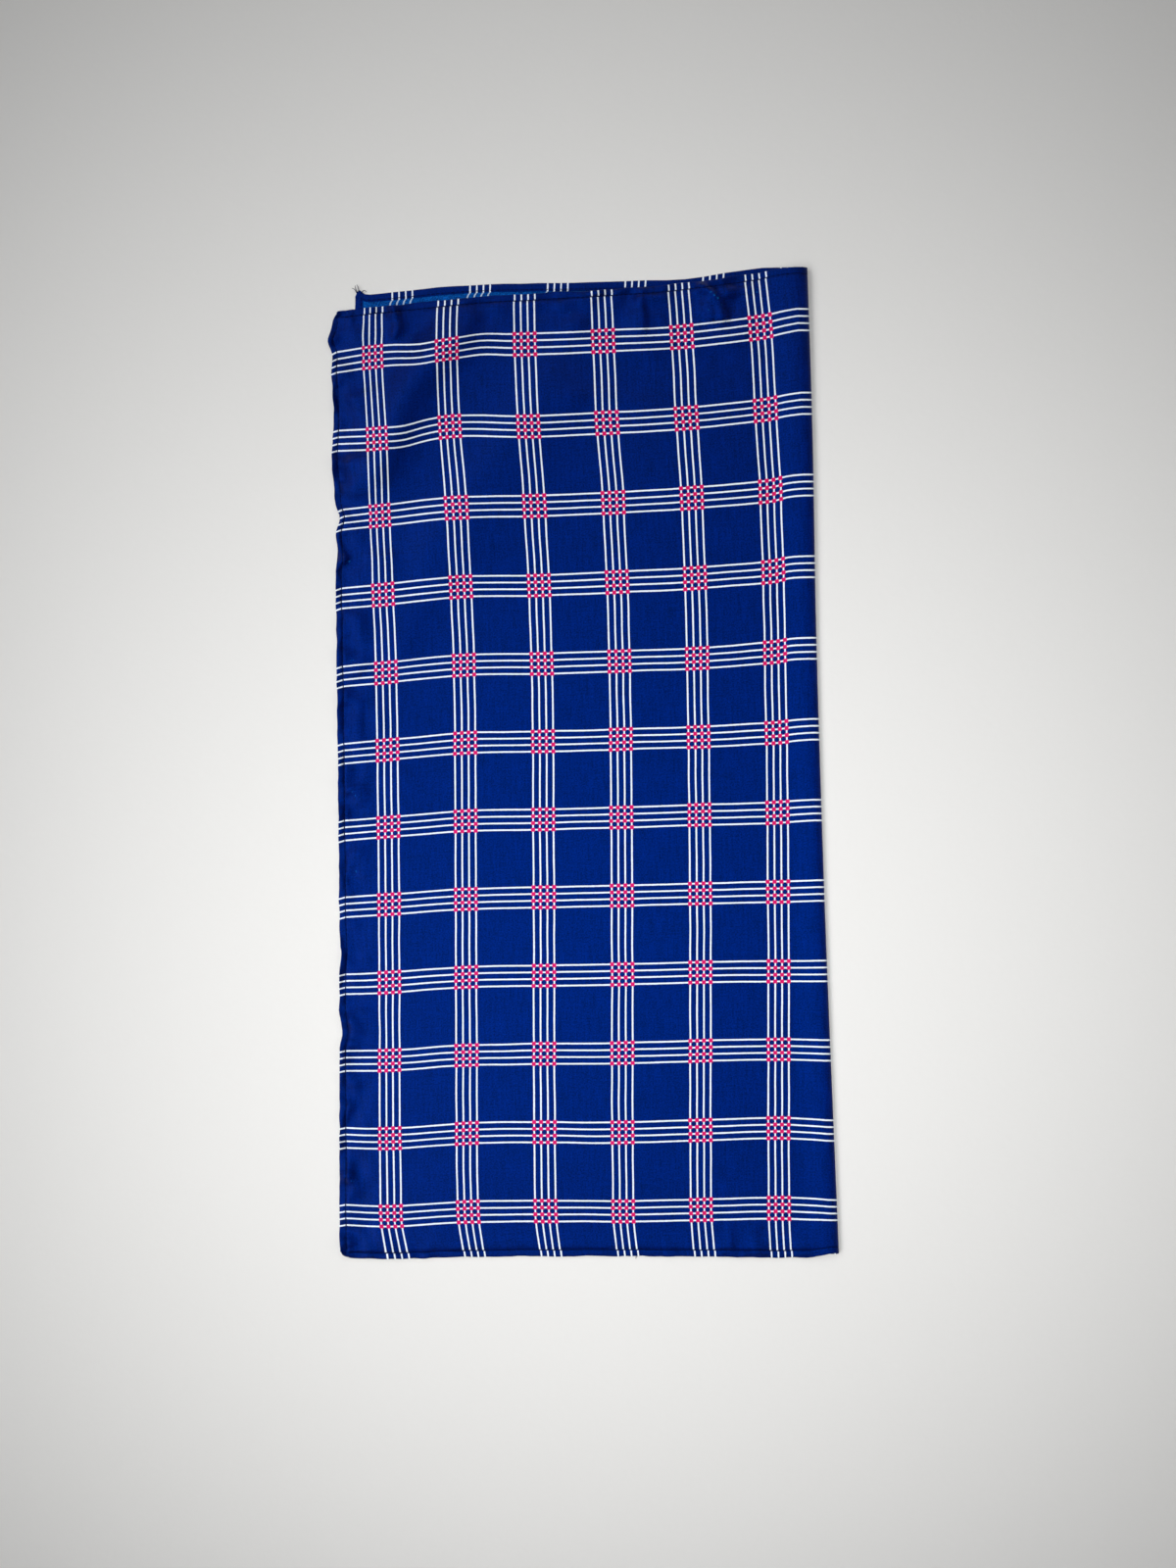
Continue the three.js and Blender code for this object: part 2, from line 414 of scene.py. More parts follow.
def stretch(start, end, step):
    """Places from start to just before end, about one step apart."""
    count = max(int(round((end - start) / step)), 1)
    return np.linspace(start, end, count, endpoint=False)


CREASED_FROM = 380.0        # above this the rows stand closer
rows_up = np.concatenate(
    [
        HEM_STATIONS[:-1],
        stretch(HEM_ZONE, CREASED_FROM, 2.5),
        stretch(CREASED_FROM, CUT_UP - HEM_ZONE, 1.9),
        CUT_UP - HEM_STATIONS[::-1],
    ]
)
FRONT_WIDTH = 277.0         # of the front layer at mid height, for sharing out its columns
Stretch = namedtuple("Stretch", "start end step")
FRONT_COLUMNS = [
    Stretch(HEM_ZONE, 48, 1.6),
    Stretch(48, 180, 3.6),
    Stretch(180, 192, 1.8),
    Stretch(192, 214, 3.6),
    Stretch(214, 246, 1.9),
    Stretch(246, FRONT_WIDTH, 3.6),
]
front_shares = np.concatenate([stretch(*part) for part in FRONT_COLUMNS])
front_shares = (front_shares - HEM_ZONE) / (FRONT_WIDTH - HEM_ZONE)
LOOP_COLUMNS = 14
back_shares = 1 - (1 - np.linspace(0, 1, 26)[1:-1]) ** 1.15
print("rows:", len(rows_up), "front columns:", len(front_shares) + len(HEM_STATIONS) - 1)

# %% [markdown]
# ## Laying the cloth
# Each row of the sheet is laid from the front hem across to the fold, round the soft loop, and
# back underneath. Along a row the flat measure `a` grows with the cloth's own length, so the
# print neither stretches nor shrinks where it goes round the loop.

# %% Laying one row
LOOP_OVER = 2.1             # how far the loop's upper half reaches, in loop radii
LOOP_UNDER = 1.0


def lay_row(b):
    """One row at height b of the flat cloth: flat measure, x, up and the loop's height."""
    heights = {name: read(HEIGHTS, "cut", name, b) for name in Height._fields[1:]}
    fold_x = read(SIDES, "up", "fold", heights["fold"])
    loop = float(read(SIDES, "up", "loop", heights["fold"]))
    radius = loop / 2
    sixth_x = read(LEANS, "cut", "sixth", b)
    top_x = fold_x - LOOP_OVER * radius
    a_top = SIXTH_COLUMN + top_x - sixth_x

    front = np.concatenate([HEM_STATIONS[:-1], HEM_ZONE + front_shares * (a_top - HEM_ZONE)])
    x_knots = [0, FIRST_COLUMN, SECOND_COLUMN, SIXTH_COLUMN, a_top]
    x_values = [front_hem_at(heights["hem"]), read(LEANS, "cut", "first", b)]
    x_values += [read(LEANS, "cut", "second", b), sixth_x, top_x]
    front_x = curve_through(x_knots, x_values, front)
    up_knots = [0, FIRST_COLUMN, SECOND_COLUMN, THIRD_COLUMN, FOURTH_COLUMN, FIFTH_COLUMN]
    up_knots += [SIXTH_COLUMN, a_top - 9, a_top + 4]
    up_values = [heights[name] for name in Height._fields[1:]]
    front_up = curve_through(up_knots, up_values, front)
    for bend in BENDS:
        away = ((front - bend.across) / bend.reach_across) ** 2
        front_up += bend.rise * np.exp(-away - ((b - bend.cut) / bend.reach_up) ** 2)
    up_top = float(curve_through(up_knots, up_values, a_top))

    turn = np.linspace(0, math.pi, LOOP_COLUMNS)
    reach = np.where(turn < math.pi / 2, LOOP_OVER, LOOP_UNDER) * radius
    loop_x = fold_x - reach + reach * np.sin(turn)
    loop_z = radius + radius * np.cos(turn)
    steps = np.hypot(np.diff(loop_x), np.diff(loop_z))
    loop_a = a_top + np.concatenate([[0], np.cumsum(steps)])
    loop_up = np.full(LOOP_COLUMNS, up_top)

    a_end, end_x = loop_a[-1], loop_x[-1]
    back_a = a_end + back_shares * (CUT_ACROSS - HEM_ZONE - a_end)
    back_a = np.concatenate([back_a, CUT_ACROSS - HEM_STATIONS[::-1]])
    share = (back_a - a_end) / (CUT_ACROSS - a_end)
    back_up = np.full(len(back_a), up_top)
    along = b / CUT_UP
    for _ in range(3):      # each round reads the edges nearer to where the row really lies
        back_x = end_x + share * (read(BACK_HEM, "up", "x", back_up) - end_x)
        low, high = read(BACK_BOTTOM, "x", "up", back_x), read(BACK_TOP, "x", "up", back_x)
        settled = smooth(back_a - a_end, 0, 70)
        back_up = up_top + settled * (low + along * (high - low) - up_top)

    a = np.concatenate([front, loop_a, back_a])
    x = np.concatenate([front_x, loop_x, back_x])
    up = np.concatenate([front_up, loop_up, back_up])
    z = np.concatenate([np.full(len(front), loop), loop_z, np.zeros(len(back_a))])
    return a, x, up, z


laid = [lay_row(b) for b in rows_up]
flat_a, sheet_x, sheet_up, sheet_z = (np.array([row[k] for row in laid]).T for k in range(4))
flat_b = np.broadcast_to(rows_up, flat_a.shape)
n_across, n_up = flat_a.shape
front_end = len(HEM_STATIONS) - 1 + len(front_shares)
print("grid of the sheet:", n_across, "by", n_up)

# %% [markdown]
# The grid's own corners are square. Where two turned hems cross, the cloth is too thick to fold
# to a point, so the real corners are blunt. The two corners of the front layer show, and they
# are drawn in to round ones.

# %% Blunting the front corners
CORNER_ROUND = 6.5


def blunt_corner(side):
    """Draws the square corner of the front layer in to a round one."""
    from_hem = flat_a
    from_edge = CUT_UP - flat_b if side > 0 else flat_b
    out, off = 1 - from_hem / CORNER_ROUND, 1 - from_edge / CORNER_ROUND
    inside = (out > 0) & (off > 0)
    out, off = np.where(inside, out, 0), np.where(inside, off, 0)
    sheet_x[:] += CORNER_ROUND * out * (1 - np.sqrt(1 - off * off / 2))
    sheet_up[:] -= side * CORNER_ROUND * off * (1 - np.sqrt(1 - out * out / 2))


blunt_corner(1)
blunt_corner(-1)
print("top corner of the front layer, mm:", round(sheet_x[0, -1], 1), round(sheet_up[0, -1], 1))

# %% [markdown]
# ## Waves, creases and puckers
# A thin cloth never lies quite flat. The long soft waves near the top left corner come from the
# way the corner was pulled. The short sharp ones are creases. Along the hems the sewing thread
# is a little too tight, so the cloth puckers. Waves and creases are listed one by one as long
# rounded ridges and troughs. The puckers and a faint unevenness all over are smooth noise.

# %% Waves and creases, one by one
Wave = namedtuple("Wave", "name route left right height")
# The route is the crest, from its lower or left end. Left and right are the widths of the bank
# on those sides of the route, so a crease with one steep side has one small width.
WAVES = [
    Wave(
        "corner wave",
        [(-131, 148), (-122, 168), (-112, 188), (-103, 212), (-89, 232), (-73, 249), (-62, 270)],
        12, 13, 6.8,
    ),
    Wave(
        "swell beyond it",
        [(-96, 96), (-87, 124), (-72, 147), (-54, 171), (-37, 197), (-22, 222), (-11, 242)],
        12, 26, 3.8,
    ),
    Wave("third wave", [(-111, 50), (-103, 73), (-90, 94), (-72, 111)], 16, 9, 1.8),
    Wave("swell in the top row", [(-13, 241), (-4, 256), (3, 269), (6, 282), (7, 292)], 9, 8, 2.4),
    Wave("swell under band one", [(-28, 239), (-7, 242), (11, 242), (34, 239), (54, 238)], 6, 7, 1.4),
    Wave("ripple in the second row", [(-22, 209), (3, 212), (25, 208), (54, 205)], 6, 9, 1.2),
    Wave("swell by the fifth column", [(59, 241), (76, 244), (98, 248)], 7, 7, 1.2),
    Wave("swell by the fold", [(116, 203), (123, 225), (124, 245)], 8, 8, 0.5),
    Wave("swell by the fold, low", [(116, -210), (136, -193), (144, -179)], 8, 10, 0.5),
    Wave("soft slope, first column", [(-109, -32), (-106, -15), (-103, -1)], 8, 12, 0.8),
    Wave("left border, low", [(-126, -247), (-128, -210), (-126, -182)], 9, 9, 0.6),
]
CREASES = [
    Wave("hem swell", [(-129, 188), (-129, 203), (-133, 215)], 6, 13, 2.4),
    Wave("hem swell below", [(-132, 150), (-133, 165), (-135, 181)], 4.5, 9, 1.6),
    Wave("slack under the pinch", [(-119, 100), (-116, 112), (-116, 124)], 15, 9, 1.8),
    Wave("crease beside the pinch", [(-137, 115), (-139, 124), (-141, 133)], 3, 1.8, 1.9),
    Wave("crease under the pinch", [(-141, 108), (-135, 115), (-128, 122)], 2.4, 4.5, -3.0),
    Wave("hem bump", [(-132, 68), (-129, 78), (-131, 90)], 5, 6, 1.9),
    Wave("hem bump, lower", [(-134, 50), (-125, 65)], 3.5, 5, 1.3),
    Wave("long crease", [(-129, 11), (-129, 25), (-128, 40)], 5, 1.8, 1.0),
    Wave("long crease, right", [(-118, 15), (-118, 25), (-119, 35)], 3.5, 4, 0.8),
    Wave("V crease, left arm", [(-111, 242), (-107, 252), (-109, 262), (-112, 270)], 3.5, 2.2, 2.9),
    Wave("V crease, right arm", [(-97, 242), (-99, 254), (-97, 261), (-102, 270)], 2.4, 3.5, -2.6),
    Wave("left cell, upper blob", [(-135, -19), (-129, -13), (-121, -4)], 4.5, 2.6, 1.3),
    Wave("left cell, lower blob", [(-138, -31), (-132, -23), (-122, -16)], 4.5, 3.5, 1.2),
    Wave("left cell, long swell", [(-128, -70), (-128, -57), (-129, -46)], 6, 5, 1.3),
    Wave("curved crease", [(-141, -63), (-134, -64), (-127, -68), (-123, -72)], 1.6, 3.2, -2.2),
    Wave("slanted crease", [(-141, -106), (-132, -103), (-118, -98)], 1.6, 2.8, -2.6),
    Wave("left cell, under the crease", [(-137, -125), (-129, -118), (-123, -111)], 5, 6, 1.0),
    Wave("left cell, pinched", [(-129, -165), (-131, -150), (-128, -136)], 5, 7, 1.1),
    Wave("upright crease", [(35, 245), (35, 256), (34, 268), (34, 279)], 8, 1.5, 2.8),
    Wave("curled crease", [(82, 251), (81, 260), (78, 268), (71, 274), (64, 277)], 7, 1.7, 4.4),
    Wave("curled crease, branch", [(79, 270), (86, 271), (94, 273), (102, 275)], 5, 1.8, 2.6),
    Wave("curled crease, small", [(75, 254), (72, 262), (68, 270)], 4, 2.0, 2.4),
    Wave("corner pleat", [(-123, -289), (-125, -275), (-132, -263)], 4, 2.6, 1.2),
    Wave("corner pleat, second", [(-109, -289), (-115, -275), (-122, -263)], 4, 3.0, 1.2),
    Wave("bottom hem, swell", [(-83, -286), (-85, -275), (-83, -264)], 6, 6, 0.5),
    Wave("short crease low down", [(75, -236), (82, -240), (89, -243)], 1.8, 3, -0.5),
    Wave("bottom right curl", [(84, -283), (85, -273), (85, -263)], 3.5, 1.5, 0.8),
    Wave("bottom right, swell", [(100, -286), (98, -273), (100, -263)], 6, 4, 0.8),
    Wave("bottom right corner", [(129, -286), (128, -275), (129, -265)], 5, 6, 0.9),
]


def wave_height(waves, x, up):
    """The height that a list of waves adds at each place."""
    total = np.zeros_like(x)
    for wave in waves:
        marks = np.array(wave.route, float)
        t = np.linspace(0, len(marks) - 1, 8 * len(marks))
        crest_x, crest_up = (curve_through(np.arange(len(marks)), marks[:, k], t) for k in (0, 1))
        reach = 2.6 * max(wave.left, wave.right)
        near = (x > crest_x.min() - reach) & (x < crest_x.max() + reach)
        near &= (up > crest_up.min() - reach) & (up < crest_up.max() + reach)
        gap_x, gap_up = x[near][:, None] - crest_x, up[near][:, None] - crest_up
        nearest = np.argmin(gap_x**2 + gap_up**2, axis=1)
        rows = np.arange(len(nearest))
        gap_x, gap_up = gap_x[rows, nearest], gap_up[rows, nearest]
        ahead_x, ahead_up = np.gradient(crest_x)[nearest], np.gradient(crest_up)[nearest]
        step = np.hypot(ahead_x, ahead_up)
        on_left = ahead_x * gap_up - ahead_up * gap_x > 0
        along = (gap_x * ahead_x + gap_up * ahead_up) / step**2
        share = (nearest + np.clip(along, -0.5, 0.5)) / (len(t) - 1)
        away = np.hypot(gap_x, gap_up) / np.where(on_left, wave.left, wave.right)
        fade = smooth(share, 0, 0.2) * (1 - smooth(share, 0.8, 1))
        total[near] += wave.height * fade * np.exp(-away * away)
    return total


def noise_over(u, v, size, seed):
    """Smooth noise from about -1 to 1, with lumps of that size in millimetres."""
    flat = zip((u / size).ravel(), (v / size).ravel())
    values = [noise.noise((s, t, seed)) for s, t in flat]
    return 1.6 * np.array(values).reshape(u.shape)


print("waves and creases placed by hand:", len(WAVES) + len(CREASES))

# %% [markdown]
# The height of the front layer is a sum: what it lies on, the cloth, the thicker hem, a little
# air, the waves and creases, the puckers, and the dip along the seam. What would sink below its
# support is eased up to it. Near the fold the height runs smoothly into the loop.

# %% The height of the front layer
CLOTH = 0.28                # thickness of the cloth as it is drawn
HEM_THICK = 0.75            # three layers of it, at the hem
ON_TABLE = 0.06             # the front border's underside, where it lies on the table
ON_BACK = 0.95              # and where it lies on the back layer
LOFT = 0.35                 # the air that stays under a cloth that nobody has pressed
LOOP_RUN = 3.8              # how far the loop takes to lie down, in loop heights
SEAM = 3.7                  # from the edge to the line of stitches
SEAM_DIP = 0.6
PUCKER_REACH = 8.0          # how far from an edge the puckers run
SIDE_PUCKER = 2.2
SLACK_REACH = 17.0
HEM_SLACK = 2.2             # the wider lumps further in from the hems
END_PUCKER = 1.2

front = slice(0, front_end)
fx, fu = sheet_x[front], sheet_up[front]
fa, fb = flat_a[front], flat_b[front]
from_left, from_top, from_bottom = fa, CUT_UP - fb, fb
from_edge = np.minimum(from_left, np.minimum(from_top, from_bottom))

on_back = 1 - smooth(past_back_layer(fx, fu), 1.0, 13.0)
underside = ON_TABLE + on_back * (ON_BACK - ON_TABLE)
hem_rise = (HEM_THICK - CLOTH) * np.exp(-np.maximum(from_edge - HEM_WIDTH, 0) / 9)
loft = LOFT * smooth(from_edge, 2, 22)

# A pucker is a mean height and a swing, with its noise drawn out across the hem.
side_pucker = 0.45 + 0.75 * noise_over(fa / 2.0, fb, 4.6, 3.1)
end_pucker = 0.5 + 0.6 * noise_over(fa, fb / 2.2, 5.0, 8.7)
puckered = SIDE_PUCKER * side_pucker * np.exp(-(((from_left - 2) / PUCKER_REACH) ** 2))
from_end = np.minimum(from_top, from_bottom)
puckered += END_PUCKER * end_pucker * np.exp(-(((from_end - 2) / PUCKER_REACH) ** 2))
from_hems = np.minimum(from_left * 1.2, from_top)
slack = HEM_SLACK * noise_over(fx, fu, 8.5, 7.3) * np.exp(-((from_hems / SLACK_REACH) ** 2))
seam_dip = SEAM_DIP * np.exp(-(((from_edge - SEAM) / 1.1) ** 2))
uneven = noise_over(fx, fu, 42.0, 5.0) * 0.16 + noise_over(fx, fu, 13.0, 2.0) * 0.035
relief = wave_height(WAVES, fx, fu) + wave_height(CREASES, fx, fu)
relief += puckered + slack - seam_dip + uneven + loft
relief = 0.5 * (relief + np.hypot(relief, 0.25))
lying = underside + CLOTH + hem_rise + relief

loop_height = sheet_z[front]
to_loop = sheet_x[front_end] - fx
flattened = smooth(to_loop, 0, LOOP_RUN * loop_height)
sheet_z[front] = loop_height + flattened * (lying - loop_height)
print("height of the front layer, mm:", round(lying.min(), 2), "to", round(lying.max(), 2))

# %% [markdown]
# No hem is as straight as a ruler. The edges waver by a fraction of a millimetre, most at the
# very edge, and smooth noise moves them without breaking the grid.

# %% A wavering edge
EDGE_RUN = 6.0              # how far in from an edge the waver fades

waver = noise_over(flat_a, flat_b, 8.0, 11.0) * 0.32 + noise_over(flat_a, flat_b, 19.0, 4.0) * 0.25
near_side = np.exp(-flat_a / EDGE_RUN) - np.exp(-(CUT_ACROSS - flat_a) / EDGE_RUN)
near_end = np.exp(-(CUT_UP - flat_b) / EDGE_RUN) - np.exp(-flat_b / EDGE_RUN)
sheet_x += waver * near_side
sheet_up += waver * near_end
print("the edges waver by at most, mm:", round(float(np.abs(waver).max()), 2))

# %% [markdown]
# The tables above were read off the photograph. In it a place that stands higher seems to lie
# further from the middle of the picture than it does. So each place is now drawn in by its
# height, as far as the camera's own height says.

# %% Drawing in by height
toward_middle = (sheet_z - CLOTH_TOP) / camera_height
sheet_x += (PICTURE_MIDDLE[0] - sheet_x) * toward_middle
sheet_up += (PICTURE_MIDDLE[1] - sheet_up) * toward_middle
print("drawn in by its height at most, mm:", round(float(np.ptp(toward_middle)) * 290, 1))

# %% [markdown]
# ## From a surface to a cloth
# The sheet gets its thickness by moving a copy of it inwards along its normals. At the hem the
# cloth lies threefold, so there the copy moves further, and the step where the hem ends shows
# on the wrong side, as it does on the real one. The edge is rounded, and the line of stitches
# sits in a shallow groove.

# %% Two faces and a hem
EDGE_ROUND = 0.42
GROOVE = 0.13

surface = np.stack([sheet_x, sheet_up, sheet_z], axis=-1)
along_a, along_b = np.gradient(surface, axis=0), np.gradient(surface, axis=1)
normals = np.cross(along_a, along_b)
normals /= np.linalg.norm(normals, axis=-1, keepdims=True)

to_side = np.minimum(flat_a, CUT_ACROSS - flat_a)
to_end = np.minimum(flat_b, CUT_UP - flat_b)
to_edge = np.minimum(to_side, to_end)


def hem_of(distance):
    return 1 - np.clip((distance - HEM_WIDTH) / 0.25, 0, 1)


thickness = CLOTH + (HEM_THICK - CLOTH) * np.minimum(hem_of(to_side) + hem_of(to_end), 1.5)
rounded = 1 - np.sqrt(1 - (1 - np.clip(to_edge / EDGE_ROUND, 0, 1)) ** 2)
drawn_in = 0.43 * thickness * rounded
groove = GROOVE * np.exp(-(((to_side - SEAM) / 0.4) ** 2))
groove = np.maximum(groove, GROOVE * np.exp(-(((to_end - SEAM) / 0.4) ** 2)))
right_face = surface - normals * (drawn_in + groove)[..., None]
wrong_face = surface - normals * (thickness - drawn_in - groove)[..., None]
lowest = min(right_face[..., 2].min(), wrong_face[..., 2].min())
print("lowest point, mm:", round(lowest, 3))

# %% [markdown]
# Both faces of the cloth are the same grid of four-sided faces. A strip of faces joins them all
# round the edge, so the cloth is one closed body. A Solidify modifier could give a sheet its
# thickness too. Here the two faces are written straight from their arrays, because that keeps
# the hem's small step sharp and says exactly which faces are hem.

# %% The mesh
def grid_faces(count_a, count_b):
    index = np.arange(count_a * count_b).reshape(count_a, count_b)
    quads = [index[:-1, :-1], index[1:, :-1], index[1:, 1:], index[:-1, 1:]]
    return np.stack(quads, axis=-1).reshape(-1, 4), index


right_quads, index = grid_faces(n_across, n_up)
size = n_across * n_up
wrong_quads = right_quads[:, ::-1] + size
rim = np.concatenate([index[:-1, 0], index[-1, :-1], index[:0:-1, -1], index[0, :0:-1]])
rim_next = np.roll(rim, -1)
rim_quads = np.stack([rim_next, rim, rim + size, rim_next + size], axis=-1)
quads = np.concatenate([right_quads, wrong_quads, rim_quads])
points = np.concatenate([right_face.reshape(-1, 3), wrong_face.reshape(-1, 3)]) * MM

cloth_mesh = bpy.data.meshes.new("cloth")
cloth_mesh.from_pydata(points.tolist(), [], quads.tolist())
cloth = bpy.data.objects.new("cloth", cloth_mesh)
bpy.context.scene.collection.objects.link(cloth)
cloth_mesh.shade_smooth()
print("cloth faces:", len(quads), "triangles:", 2 * len(quads))

# %% [markdown]
# ## Carrying the print
# The print is painted by a material, so each corner of each face has to know where it is on the
# flat cloth. That is what a UV map holds. The hem is the cloth turned over its own edge, so on
# the wrong side of the hem the map runs on past the edge, and the printed face shows there. The
# hem was also turned a little askew, so the lines kink where they meet it.

# %% Flat places for every face corner
TOP_SKEW = -0.5             # of the columns in the front layer's top hem
SIDE_SKEW = 0.8             # of the bands in the front layer's side hem
BACK_SKEW = 1.5             # of the columns in the back layer's top hem

kink = np.clip((SEAM + 0.3 - to_end) / 0.8, 0, 1)
in_back = smooth(flat_a, FRONT_WIDTH, FRONT_WIDTH + 20)
skew_a = kink * TOP_SKEW * (1 - in_back)
skew_b = np.clip((SEAM - flat_a) / SEAM, 0, 1) * SIDE_SKEW
right_map = np.stack([flat_a + skew_a, flat_b + skew_b], axis=-1)

past_hem = np.clip((HEM_WIDTH + 2.2 - (CUT_UP - flat_b)) / 2.2, 0, 1)
wrong_map = np.stack([flat_a + skew_a + past_hem * BACK_SKEW * in_back, flat_b + skew_b], axis=-1)
turned_a = np.where(flat_a < HEM_WIDTH + 0.3, -flat_a, flat_a)
over = CUT_ACROSS - flat_a < HEM_WIDTH + 0.3
turned_a = np.where(over, 2 * CUT_ACROSS - flat_a, turned_a)
turned_b = np.where(flat_b < HEM_WIDTH + 0.3, -flat_b, flat_b)
turned_b = np.where(CUT_UP - flat_b < HEM_WIDTH + 0.3, 2 * CUT_UP - flat_b, turned_b)
turned_map = np.stack([turned_a + skew_a + BACK_SKEW * in_back, turned_b + skew_b], axis=-1)

face_edge = to_edge.reshape(-1)[right_quads].mean(axis=1)
is_hem = face_edge < HEM_WIDTH + 0.15
wrong_corners = np.where(
    is_hem[:, None, None],
    turned_map.reshape(-1, 2)[wrong_quads - size],
    wrong_map.reshape(-1, 2)[wrong_quads - size],
)
right_flat = right_map.reshape(-1, 2)
rim_corners = right_flat[np.stack([rim_next, rim, rim, rim_next], axis=-1)]
corners_map = np.concatenate([right_flat[right_quads], wrong_corners, rim_corners])
flat_map = cloth_mesh.uv_layers.new(name="flat_cloth")
flat_map.data.foreach_set("uv", corners_map.reshape(-1).astype(np.float32))

slots = np.zeros(len(quads), dtype=np.int32)
slots[len(right_quads) : len(right_quads) + len(wrong_quads)] = np.where(is_hem, 0, 1)
cloth_mesh.polygons.foreach_set("material_index", slots)
print("faces on the plain wrong side:", int(slots.sum()))

# %% [markdown]
# ## The printed cotton
# The ground is dyed navy. Everything is worked out from the flat place: how far it is from the
# nearest line, in each direction. Under the print is a plain weave, whose threads are uneven, so
# the navy is faintly streaked along them and has small darker slubs. The seam is a thin dark
# line too. It is partly the navy thread that has sunk into the cloth between the stitches, and
# partly painted shade, the shadow in the seam's groove.

# %% Print
LINE_STEP = 3.92
LINE_WIDTH = 0.92
PINK_WIDTH = 2.25           # the pink squares are printed a little wider than the lines
INK_SOFT = 0.2
THREAD_NAVY = (0.0, 0.002, 0.03, 1.0)
WEAVE_STEP = 0.36
LINE_WAVER = 0.9            # how far a printed line wanders, and how ragged its edge is
INK_BLEED = 0.22


def from_lines(place, first, period):
    """How far a place is from the nearest line of one set: over 9 outside a group."""
    from_middle = abs((place - first).wrapped(period))
    outside = from_middle > 2 * LINE_STEP
    return abs(abs(from_middle.wrapped(LINE_STEP)) - LINE_STEP / 2) + outside * 9


def printed_cotton(name, ground, white, pink, strength):
    """The cotton's material, seen on one of its two faces."""
    paper = Paper(name)
    place = paper.node("ShaderNodeUVMap", {"uv_map": "flat_cloth"})
    moved = paper.vector("ADD", place, paper.drift(place, 0.03, 1.0, LINE_WAVER))
    moved = paper.vector("ADD", moved, paper.drift(place, 0.9, 2.0, INK_BLEED))
    a, b = paper.part(moved, "X"), paper.part(moved, "Y")
    from_column = from_lines(a, FIRST_COLUMN, COLUMN_STEP)
    from_band = from_lines(b, LOWEST_BAND, BAND_STEP)
    either = from_column.least(from_band).below(LINE_WIDTH / 2, INK_SOFT)
    both = from_column.most(from_band).below(PINK_WIDTH / 2, INK_SOFT)

    flat, flat_up = paper.part(place, "X"), paper.part(place, "Y")
    warp_place = paper.node("ShaderNodeCombineXYZ", None, (flat / 1.5, flat_up / 14.0, 0.0))
    weft_place = paper.node("ShaderNodeCombineXYZ", None, (flat / 10.0, flat_up / 1.5, 4.0))
    warp = paper.noise(warp_place, 1.0, 4.0)
    weft = paper.noise(weft_place, 1.0, 3.0)
    clouds = paper.noise(place, 0.04, 3.0)
    slubs = paper.noise(place, 1.15, 2.0)
    to_cut_edge = flat.least(flat_up).least(CUT_UP - flat_up)
    # Along the hem the navy is painted a fifth darker. This is painted shade, for the table light
    # that the threefold hem lets through less than a single layer does.
    painted_hem_shade = to_cut_edge.below(HEM_WIDTH, 3.0)
    # The weights say how much each kind of unevenness shows, and the last number brings the
    # mean back to about 1.
    tone = (warp * 1.9 + weft * 1.1 + clouds * 0.4 + slubs * 4.0 - 2.7) * (1 - painted_hem_shade * 0.2)
    dyed = paper.tinted(ground, tone)
    inked = paper.tinted(white, 0.9 + warp * 0.1 + weft * 0.1)
    colour = paper.blend(either * strength, dyed, inked)
    colour = paper.blend(both, colour, pink)
    # A dark line painted along the seam: partly navy thread, partly painted shade of the seam's
    # groove.
    seam_thread_and_shade = abs(to_cut_edge - SEAM).below(0.35, 0.3)
    colour = paper.blend(seam_thread_and_shade * 0.85, colour, THREAD_NAVY)

    turns = 2 * math.pi / WEAVE_STEP
    weave = (flat * turns).sine() * (flat_up * turns).sine() * 0.5 + warp * 0.7 + weft * 0.5
    bump = paper.node(
        "ShaderNodeBump", None, {"Strength": 0.6, "Distance": 0.00004, "Height": weave}
    )
    rough = 0.46 + clouds * 0.08 - either * 0.04
    return paper.finish(
        Base_Color=colour,
        Roughness=rough,
        IOR=1.5,
        Specular_IOR_Level=1.0,
        Specular_Tint=(0.0, 0.1, 0.9, 1.0),
        Normal=bump,
    )


NAVY = (0.0, 0.0050, 0.074, 1.0)
INK_WHITE = (0.83, 0.90, 0.95, 1.0)
INK_PINK = (0.72, 0.0, 0.055, 1.0)
WRONG_NAVY = (0.001, 0.055, 0.225, 1.0)
WRONG_WHITE = (0.55, 0.68, 0.76, 1.0)
WRONG_PINK = (0.62, 0.10, 0.22, 1.0)
cloth_mesh.materials.append(printed_cotton("printed_cotton", NAVY, INK_WHITE, INK_PINK, 1.0))
cloth_mesh.materials.append(
    printed_cotton("wrong_side", WRONG_NAVY, WRONG_WHITE, WRONG_PINK, 0.8)
)
print("materials on the cloth:", [m.name for m in cloth_mesh.materials])

# %% [markdown]
# ## Stitches
# The hem is sewn by machine with navy thread, about nine stitches to the inch. The navy thread
# only shows where it crosses the white lines. Each stitch is a short arched tube that sinks
# into the cloth at both ends.

# %% Tubes of thread
TABLE_GAP = 0.01            # mm, a thread that lies on the table is pressed flat at this height


